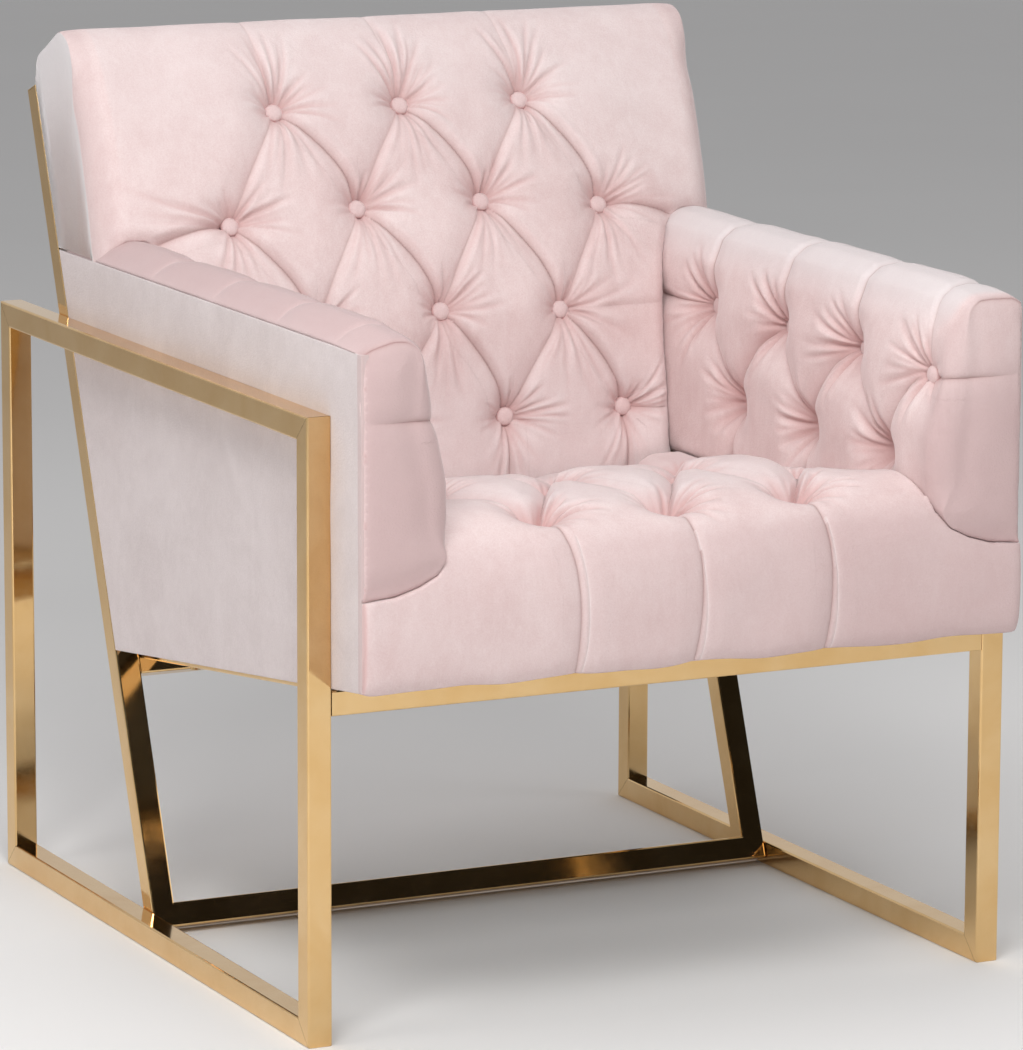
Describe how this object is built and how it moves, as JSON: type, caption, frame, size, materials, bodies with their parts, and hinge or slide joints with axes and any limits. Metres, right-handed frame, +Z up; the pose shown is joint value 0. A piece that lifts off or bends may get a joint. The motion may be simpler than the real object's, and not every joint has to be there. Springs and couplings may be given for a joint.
{
  "type": "tufted lounge armchair",
  "caption": "Lounge armchair with a diamond-tufted blush velvet body held between two open rectangular side frames of polished gold square tube; for sitting.",
  "frame": {"origin": "centre of the chair's footprint box, on the floor", "axes": "+Z up, the sitter faces -Y, +X to the right as seen from in front of the chair looking along +Y"},
  "size_m": [0.758, 0.8706, 0.9048],
  "materials": {
    "gold_frame": "polished gold plating on square tube",
    "blush_velvet": "short pile blush pink velvet",
    "velvet_buttons": "buttons covered in the same velvet",
    "plywood": "raw plywood",
    "dust_cloth": "black spunbond cloth",
    "zinc_bolts": "zinc-plated steel"
  },
  "bodies": {
    "root": {"back_board": "plywood", "back_bolt_1": "zinc_bolts", "back_bolt_2": "zinc_bolts", "back_bolt_3": "zinc_bolts", "back_bolt_4": "zinc_bolts", "back_button_1": "velvet_buttons", "back_button_10": "velvet_buttons", "back_button_11": "velvet_buttons", "back_button_12": "velvet_buttons", "back_button_13": "velvet_buttons", "back_button_14": "velvet_buttons", "back_button_2": "velvet_buttons", "back_button_3": "velvet_buttons", "back_button_4": "velvet_buttons", "back_button_5": "velvet_buttons", "back_button_6": "velvet_buttons", "back_button_7": "velvet_buttons", "back_button_8": "velvet_buttons", "back_button_9": "velvet_buttons", "back_cover": "blush_velvet", "back_cushion": "blush_velvet", "back_stretcher": "gold_frame", "dust_cover": "dust_cloth", "front_rail": "gold_frame", "left_arm_board": "plywood", "left_arm_button_1": "velvet_buttons", "left_arm_button_2": "velvet_buttons", "left_arm_button_3": "velvet_buttons", "left_arm_button_4": "velvet_buttons", "left_arm_pad": "blush_velvet", "left_arm_rail": "gold_frame", "left_back_post": "gold_frame", "left_floor_rail": "gold_frame", "left_front_leg": "gold_frame", "left_post_cap": "gold_frame", "left_rear_leg": "gold_frame", "left_seat_rail": "gold_frame", "left_side_panel": "blush_velvet", "rear_seat_rail": "gold_frame", "right_arm_board": "plywood", "right_arm_button_1": "velvet_buttons", "right_arm_button_2": "velvet_buttons", "right_arm_button_3": "velvet_buttons", "right_arm_button_4": "velvet_buttons", "right_arm_pad": "blush_velvet", "right_arm_rail": "gold_frame", "right_back_post": "gold_frame", "right_floor_rail": "gold_frame", "right_front_leg": "gold_frame", "right_post_cap": "gold_frame", "right_rear_leg": "gold_frame", "right_seat_rail": "gold_frame", "right_side_panel": "blush_velvet", "seat_board": "plywood", "seat_bolt_1": "zinc_bolts", "seat_bolt_2": "zinc_bolts", "seat_bolt_3": "zinc_bolts", "seat_bolt_4": "zinc_bolts", "seat_cushion": "blush_velvet"}
  },
  "joints": []
}
